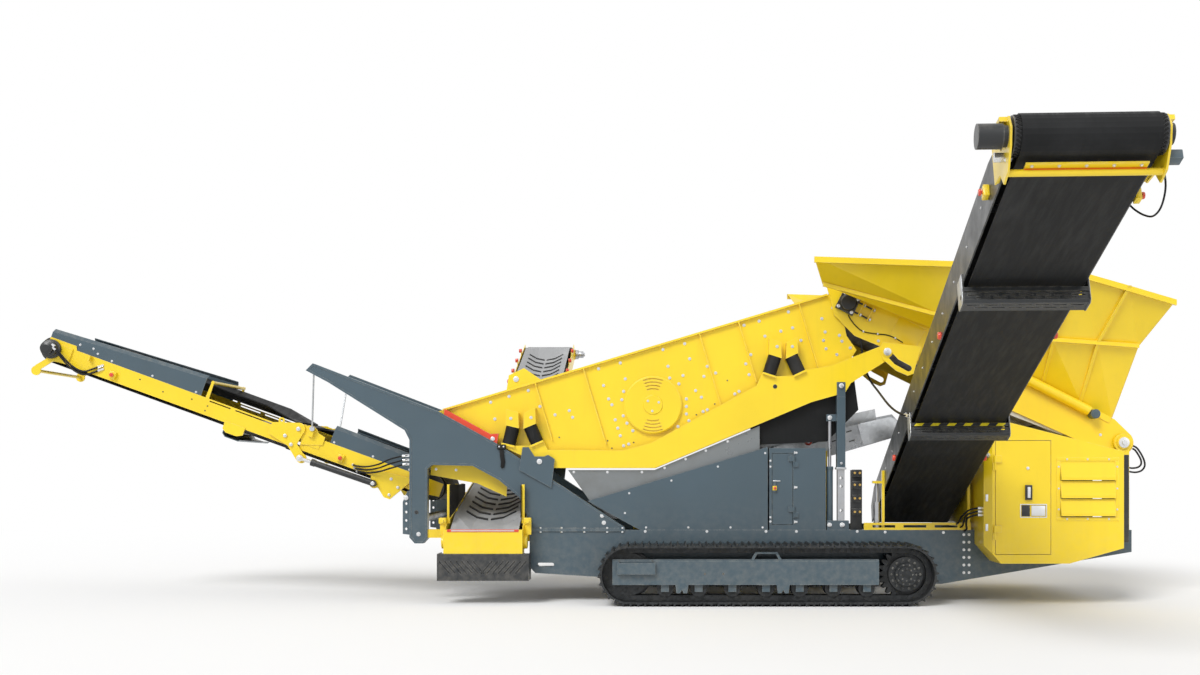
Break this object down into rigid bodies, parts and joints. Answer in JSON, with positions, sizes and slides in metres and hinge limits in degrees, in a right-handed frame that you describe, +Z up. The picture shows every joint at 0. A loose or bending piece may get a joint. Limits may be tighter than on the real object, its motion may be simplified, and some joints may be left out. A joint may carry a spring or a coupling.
{
  "type": "tracked mobile screening plant",
  "caption": "Crawler-mounted screening plant: feed hopper and belt feeder, inclined vibrating screen box on rubber springs, folding front conveyor, side and cross discharge conveyors.",
  "frame": {"origin": "on the ground, in the middle of the plan box", "axes": "+X from the front conveyor to the power pack, +Y to the far side where the cross conveyor rises, +Z up"},
  "size_m": [13.5601, 15.3617, 3.9883],
  "materials": {
    "yellow_paint": "semi-gloss yellow enamel",
    "slate_paint": "satin blue-grey enamel",
    "dark_paint": "satin dark enamel",
    "red_paint": "satin red-orange enamel",
    "track_steel": "dark cast and forged steel",
    "screen_steel": "bare screen mesh",
    "spring_rubber": "moulded rubber",
    "belt_rubber": "smooth belt rubber with light wear",
    "chevron_rubber": "dusty chevron belt rubber",
    "cylinder_steel": "satin steel",
    "galvanised": "hot-dip galvanised",
    "dark_steel": "dark grey machinery enamel",
    "chrome_rod": "hard chrome"
  },
  "bodies": {
    "plant": {"track_chains": "track_steel", "track_frames": "slate_paint", "track_rollers": "track_steel", "idler_wheels": "track_steel", "drive_sprockets": "track_steel", "chassis_beams": "slate_paint", "cross_members": "slate_paint", "front_frames": "slate_paint", "transport_locks": "red_paint", "screen_side_plates": "yellow_paint", "screen_cross_tubes": "yellow_paint", "top_deck": "screen_steel", "bottom_deck": "screen_steel", "exciter": "yellow_paint", "screen_springs": "spring_rubber", "screen_cradle": "yellow_paint", "lift_posts": "slate_paint", "lift_cylinders": "cylinder_steel", "medium_chute": "yellow_paint", "fines_hopper": "slate_paint", "rubber_curtains": "belt_rubber", "side_covers": "slate_paint", "control_cabinet": "slate_paint", "fines_conveyor_frame": "galvanised", "fines_belt": "belt_rubber", "feeder_frame": "yellow_paint", "feeder_belt": "belt_rubber", "feeder_drums": "dark_steel", "feeder_bearings": "dark_steel", "feeder_posts": "yellow_paint", "hopper_walls": "yellow_paint", "hopper_back_wall": "yellow_paint", "engine_housing": "yellow_paint", "power_pack": "dark_steel", "radiator_guard": "dark_steel", "inner_frame": "yellow_paint", "inner_belt": "belt_rubber", "inner_skirts": "slate_paint", "front_tail_drum": "dark_steel", "front_stays": "galvanised", "side_frame": "dark_paint", "side_towers": "yellow_paint", "side_belt": "belt_rubber", "side_drums": "dark_steel", "side_guards": "slate_paint", "cross_frame": "yellow_paint", "cross_hangers": "yellow_paint", "cross_belt": "chevron_rubber", "cross_drums": "dark_steel", "cross_tail_guard": "slate_paint"},
    "front_outer": {"outer_frame": "yellow_paint", "outer_belt": "belt_rubber", "outer_skirts": "slate_paint", "front_head_drum": "dark_steel"},
    "barrel_near": {"fold_barrel_near": "dark_steel"},
    "barrel_far": {"fold_barrel_far": "dark_steel"},
    "rod_near": {"fold_rod_near": "chrome_rod"},
    "rod_far": {"fold_rod_far": "chrome_rod"},
    "engine_door": {"engine_door": "yellow_paint"},
    "cabinet_door": {"cabinet_door": "slate_paint"}
  },
  "joints": [
    {"name": "front_fold", "type": "hinge", "parent": "plant", "child": "front_outer", "pos_m": [-3.51, 0, 2.057], "axis": [0, 1, 0], "range_deg": [0, 95]},
    {"name": "engine_door_hinge", "type": "hinge", "parent": "plant", "child": "engine_door", "pos_m": [4.6918, -1.469, 1.2], "axis": [0, 0, -1], "range_deg": [0, 90]},
    {"name": "cabinet_door_hinge", "type": "hinge", "parent": "plant", "child": "cabinet_door", "pos_m": [2.4498, -0.969, 1.3], "axis": [0, 0, 1], "range_deg": [0, 110]},
    {"name": "fold_barrel_near_pivot", "type": "hinge", "parent": "plant", "child": "barrel_near", "pos_m": [-2.59603, -0.664, 1.3987], "axis": [0, 1, 0], "range_deg": [0, 8.51]},
    {"name": "fold_rod_near_slide", "type": "slide", "parent": "barrel_near", "child": "rod_near", "axis": [-0.9458, 0, 0.3249], "range_m": [0, 0.4977]},
    {"name": "fold_barrel_far_pivot", "type": "hinge", "parent": "plant", "child": "barrel_far", "pos_m": [-2.59603, 0.664, 1.3987], "axis": [0, 1, 0], "range_deg": [0, 8.51]},
    {"name": "fold_rod_far_slide", "type": "slide", "parent": "barrel_far", "child": "rod_far", "axis": [-0.9458, 0, 0.3249], "range_m": [0, 0.4977]}
  ],
  "couplings": [
    {"joint": "fold_barrel_near_pivot", "follows": "front_fold", "ratio": 0.089058},
    {"joint": "fold_rod_near_slide", "follows": "front_fold", "m_per_rad": 0.29955},
    {"joint": "fold_barrel_far_pivot", "follows": "front_fold", "ratio": 0.089058},
    {"joint": "fold_rod_far_slide", "follows": "front_fold", "m_per_rad": 0.29955}
  ]
}
